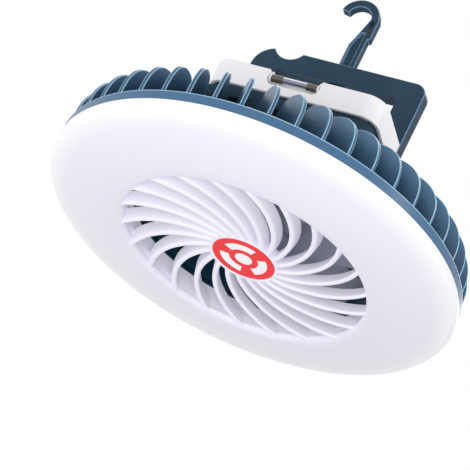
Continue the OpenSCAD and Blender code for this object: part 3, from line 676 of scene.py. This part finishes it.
class FAN_OT_light_ring(bpy.types.Operator):
    """Diffuser, lamp board and the screws that hold the ring"""

    bl_idname = "fan.light_ring"
    bl_label = "Light ring"

    def execute(self, context):
        sizes = context.scene.fan_sizes
        mesh = bmesh.new()
        lathe(mesh, diffuser_profile(sizes), RING_SIDES)
        solid("Diffuser", mesh, "diffuser_ring")
        softened("Lamp carrier", "led_carrier", sizes.small_edge, finish="throat_dark")
        soften_all({"led_board": "Lamp board", "led_chips": "Lamps", "housing_screws": "Housing screws"},
                   sizes.small_edge)
        return {"FINISHED"}


class FAN_OT_grille(bpy.types.Operator):
    """Swirled grille, throat and badge"""

    bl_idname = "fan.grille"
    bl_label = "Grille"

    def execute(self, context):
        sizes = context.scene.fan_sizes
        solid("Grille", grille_mesh(sizes), "front_grille", finish="grille_white")
        # The throat's dark edge finish paints shade on its deep inside.
        solid("Throat", throat_mesh(sizes), "throat_tube", edge="throat_dark", finish="grille_white")
        softened("Badge", "grille_badge", sizes.small_edge)
        softened("Badge motif", "badge_motif", sizes.small_edge / 2)
        return {"FINISHED"}


class FAN_OT_fins(bpy.types.Operator):
    """Blue band and cooling fins"""

    bl_idname = "fan.fins"
    bl_label = "Band and fins"

    def execute(self, context):
        sizes = context.scene.fan_sizes
        # The fin-edge finish paints a highlight on the band's top corner and on the fins' rounded edges.
        solid("Rim band", band_mesh(), "rim_band", edge="fin_edge", finish="band_blue")
        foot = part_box("cooling_fins")[0].z + 0.05 * MM
        softened("Cooling fins", "cooling_fins", sizes.fin_edge, edge="fin_edge",
                 keep=lambda middle: middle.z < foot)
        return {"FINISHED"}


class FAN_OT_back(bpy.types.Operator):
    """Drum and battery pedestal"""

    bl_idname = "fan.back"
    bl_label = "Drum and pedestal"

    def execute(self, context):
        sizes = context.scene.fan_sizes
        band_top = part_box("rim_band")[1].z
        softened("Drum", "rear_cover", sizes.blue_edge / 2, keep=lambda middle: middle.z < band_top)
        softened("Pedestal", "pedestal", sizes.blue_edge)
        return {"FINISHED"}


class FAN_OT_airway(bpy.types.Operator):
    """Air duct, motor and impeller"""

    bl_idname = "fan.airway"
    bl_label = "Motor and impeller"

    def execute(self, context):
        sizes = context.scene.fan_sizes
        softened("Air duct", "air_duct", sizes.small_edge, finish="throat_dark")
        softened("Impeller", "impeller", sizes.small_edge * 2)
        soften_all({"motor_spider": "Motor spider", "spider_screws": "Spider screws",
                    "motor_can": "Motor can", "motor_bearing": "Motor bearing",
                    "motor_shaft": "Motor shaft", "impeller_clip": "Impeller clip"}, sizes.small_edge)
        return {"FINISHED"}


class FAN_OT_battery(bpy.types.Operator):
    """Battery cells, tray and contacts"""

    bl_idname = "fan.battery"
    bl_label = "Battery"

    def execute(self, context):
        soften_all({"battery_holder": "Battery tray", "battery_cells": "Battery cells",
                    "cell_contacts": "Cell contacts"}, context.scene.fan_sizes.small_edge)
        return {"FINISHED"}


class FAN_OT_box(bpy.types.Operator):
    """White box with its boards, socket and buttons"""

    bl_idname = "fan.box"
    bl_label = "White box"

    def execute(self, context):
        sizes = context.scene.fan_sizes
        softened("White box", "box_cover", sizes.box_edge)
        soften_all({"power_button": "Power button", "light_button": "Light button",
                    "charge_window": "Charge window"}, sizes.small_edge * 2)
        soften_all({"box_screws": "Box screws", "control_board": "Control board",
                    "charge_socket": "Charging socket", "switch_board": "Switch board",
                    "tact_switches": "Switches"}, sizes.small_edge / 2)
        return {"FINISHED"}


class FAN_OT_lid(bpy.types.Operator):
    """Charging lid on its sprung pin"""

    bl_idname = "fan.lid"
    bl_label = "Charging lid"

    def execute(self, context):
        sizes = context.scene.fan_sizes
        softened("Charging lid", "port_lid", sizes.small_edge)
        softened("Lid pin", "lid_pin", sizes.small_edge)
        softened("Lid springs", "lid_springs", 0)
        return {"FINISHED"}


class FAN_OT_frame(bpy.types.Operator):
    """Hanging frame with its pins, washers, screws and opener"""

    bl_idname = "fan.frame"
    bl_label = "Hanging frame"

    def execute(self, context):
        sizes = context.scene.fan_sizes
        low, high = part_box("frame_front")
        joint, back = (corner.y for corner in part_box("frame_back"))
        side, bar = high.x - sizes.arm_width + MM, high.z - sizes.bar_height + MM
        skin, hair = 0.3 * MM, 0.02 * MM

        def in_window(middle):
            """True on the window's own edges, which go without the painted highlight and keep the colour of the
            faces.
            """
            return abs(middle.x) < side and middle.z < bar

        def in_pocket(middle):
            """True inside the bar, round the hook's pocket, where edges lie too close to be rounded."""
            return abs(middle.x) < sizes.pocket_half and low.y + skin < middle.y < back - skin

        # Rounded edges get the housing-edge finish, a painted highlight; the window's own edges stay plain
        # blue.
        softened("Frame front", "frame_front", sizes.blue_edge, edge="housing_edge_highlight", plain=in_window,
                 keep=lambda middle: middle.y > joint - hair or in_pocket(middle))
        softened("Frame back", "frame_back", sizes.blue_edge, edge="housing_edge_highlight", plain=in_window,
                 keep=lambda middle: middle.y < joint + hair or in_pocket(middle))
        soften_all({"frame_screws": "Frame screws", "opener_insert": "Opener insert",
                    "frame_pins": "Pivot pins", "pivot_washers": "Pivot washers"}, sizes.small_edge)
        return {"FINISHED"}


class FAN_OT_hook(bpy.types.Operator):
    """Sliding hook"""

    bl_idname = "fan.hook"
    bl_label = "Hook"

    def execute(self, context):
        sizes = context.scene.fan_sizes
        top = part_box("hook")[1].z
        left, right = sizes.panel_side + 0.2 * MM, sizes.panel_side + 2.3 * MM
        foot, head = top - 18.8 * MM, top - 9.7 * MM

        def crowded(middle):
            """True round the eye, which lies too close to the sunk panel to be rounded."""
            return left < middle.x < right and foot < middle.z < head

        # The hook's rounded edges get the housing-edge finish, a painted highlight.
        softened("Hook", "hook", sizes.hook_edge, edge="housing_edge_highlight", keep=crowded)
        return {"FINISHED"}


def direction(azimuth, elevation):
    """Unit vector from the fan, azimuth round it from the front wall and elevation up."""
    return Vector((math.sin(azimuth) * math.cos(elevation), -math.cos(azimuth) * math.cos(elevation),
                   math.sin(elevation)))


class FAN_OT_stage(bpy.types.Operator):
    """Pale floor, soft studio lamps, white surroundings and the camera"""

    bl_idname = "fan.stage"
    bl_label = "Stage"

    def execute(self, context):
        stage = context.scene.fan_stage
        context.scene.view_settings.view_transform = "Standard"
        self.surround(context.scene, stage)
        self.floor(context.scene)
        for name, azimuth, elevation, reach, width, height, share in LAMPS:
            self.lamp(context.scene, name, azimuth, elevation, reach, width, height, share * stage.lamps)
        self.camera(context.scene, stage)
        return {"FINISHED"}

    def surround(self, scene, stage):
        """White to the camera, to gloss and through glass, and a softer ambient light."""
        world = bpy.data.worlds.new("Studio")
        scene.world = world
        world.use_nodes = True
        tree = world.node_tree
        path = tree.nodes.new("ShaderNodeLightPath")
        seen = path.outputs["Is Camera Ray"]
        for ray in ("Is Glossy Ray", "Is Transmission Ray"):
            either = tree.nodes.new("ShaderNodeMath")
            either.operation = "MAXIMUM"
            tree.links.new(seen, either.inputs[0])
            tree.links.new(path.outputs[ray], either.inputs[1])
            seen = either.outputs[0]
        strength = tree.nodes.new("ShaderNodeMapRange")
        tree.links.new(seen, strength.inputs["Value"])
        strength.inputs["To Min"].default_value = stage.ambient
        sky = tree.nodes["Background"]
        sky.inputs["Color"].default_value = (1, 1, 1, 1)
        tree.links.new(strength.outputs["Result"], sky.inputs["Strength"])

    def floor(self, scene):
        """Pale floor under the lip. It fades out round the fan and is open from below."""
        finish = Finish("Pale floor")
        reach, drop = 0.9, 0.3 * MM
        away = finish.node("ShaderNodeVectorMath", {"operation": "LENGTH"}, {0: finish.place},
                           output="Value")
        fade = finish.ramp(away / reach, [(0.25, (0, 0, 0, 1)), (0.9, (1, 1, 1, 1))], "EASE")
        below = finish.node("ShaderNodeNewGeometry", output="Backfacing")
        open_share = finish.node("ShaderNodeMath", {"operation": "MAXIMUM"}, {0: fade, 1: below})
        clear = finish.node("ShaderNodeBsdfTransparent")
        mixed = finish.node("ShaderNodeMixShader", {}, {0: open_share,
                            1: Signal(finish, finish.shader.outputs[0]), 2: clear})
        tone = finish.blend(finish.noise(0.01), (0.9, 0.9, 0.91, 1), (0.94, 0.94, 0.95, 1))
        finish.surface(base_color=tone, roughness=0.8)
        finish.tree.links.new(mixed.socket, finish.tree.nodes["Material Output"].inputs["Surface"])
        mesh = bmesh.new()
        bmesh.ops.create_grid(mesh, x_segments=8, y_segments=8, size=1.0)
        data = bpy.data.meshes.new("Floor")
        mesh.to_mesh(data)
        mesh.free()
        data.materials.append(finish.material)
        floor = bpy.data.objects.new("Floor", data)
        floor.location.z = -drop
        floor.visible_diffuse = floor.visible_glossy = floor.visible_shadow = False
        floor.visible_transmission = False
        scene.collection.objects.link(floor)

    def lamp(self, scene, name, azimuth, elevation, reach, width, height, share):
        """Soft lamp aimed at the fan; share 1 alone would light a facing surface to its own colour."""
        data = bpy.data.lights.new(name, "AREA")
        data.shape, data.size, data.size_y = "RECTANGLE", width, height
        data.energy = share * math.pi ** 2 * reach ** 2
        back = direction(math.radians(azimuth), math.radians(elevation))
        lamp = bpy.data.objects.new(name, data)
        lamp.location = AIM + back * reach
        lamp.rotation_mode = "QUATERNION"
        lamp.rotation_quaternion = (-back).to_track_quat("-Z", "Y")
        scene.collection.objects.link(lamp)

    def camera(self, scene, stage):
        """Camera below and in front of the fan, turned about its line of sight."""
        back = direction(stage.azimuth, stage.elevation)
        level = Vector((math.cos(stage.azimuth), math.sin(stage.azimuth), 0))
        upright = back.cross(level)
        right = math.cos(stage.roll) * level + math.sin(stage.roll) * upright
        up = math.cos(stage.roll) * upright - math.sin(stage.roll) * level
        data = bpy.data.cameras.new("Camera")
        data.lens, data.sensor_width = stage.focal, 36
        camera = bpy.data.objects.new("Camera", data)
        place = stage.distance * back - stage.shift_right * right - stage.shift_up * up
        place.z += stage.seam
        camera.matrix_world = Matrix.Translation(place) @ Matrix((right, up, back)).transposed().to_4x4()
        scene.collection.objects.link(camera)
        scene.camera = camera


# Name, azimuth, elevation, reach, width, height (degrees and metres) and share of the light
LAMPS = [
    ("Key", -55, -10, 0.9, 0.8, 0.8, 0.22),
    ("Under fill", -10, -60, 1.0, 0.9, 0.9, 0.1),
    ("Front fill", 20, -32, 1.3, 0.9, 0.9, 0.38),
    ("Right strip", 82, 12, 0.8, 0.18, 0.9, 0.22),
    ("Back", 190, 45, 1.0, 0.7, 0.7, 0.3),
]


class FAN_PT_panel(bpy.types.Panel):
    """Every step of the fan's finish"""

    bl_idname = "FAN_PT_panel"
    bl_label = "Camping fan"
    bl_space_type = "VIEW_3D"
    bl_region_type = "UI"
    bl_category = "Camping fan"

    def draw(self, context):
        for step in STEPS:
            self.layout.operator(step.bl_idname)
        for group in (context.scene.fan_look, context.scene.fan_sizes, context.scene.fan_stage):
            for name in group.__annotations__:
                self.layout.prop(group, name)


STEPS = (FAN_OT_light_ring, FAN_OT_grille, FAN_OT_fins, FAN_OT_back, FAN_OT_airway, FAN_OT_battery,
         FAN_OT_box, FAN_OT_lid, FAN_OT_frame, FAN_OT_hook, FAN_OT_stage)
GROUPS = {"fan_look": FAN_PG_look, "fan_sizes": FAN_PG_sizes, "fan_stage": FAN_PG_stage}


def register():
    for kind in (*GROUPS.values(), *STEPS, FAN_PT_panel):
        bpy.utils.register_class(kind)
    for name, kind in GROUPS.items():
        setattr(bpy.types.Scene, name, PointerProperty(type=kind))


def unregister():
    for name in GROUPS:
        delattr(bpy.types.Scene, name)
    for kind in reversed((*GROUPS.values(), *STEPS, FAN_PT_panel)):
        bpy.utils.unregister_class(kind)


def main():
    register()
    for step in STEPS:
        group, name = step.bl_idname.split(".")
        getattr(getattr(bpy.ops, group), name)()


if __name__ == "__main__":
    main()
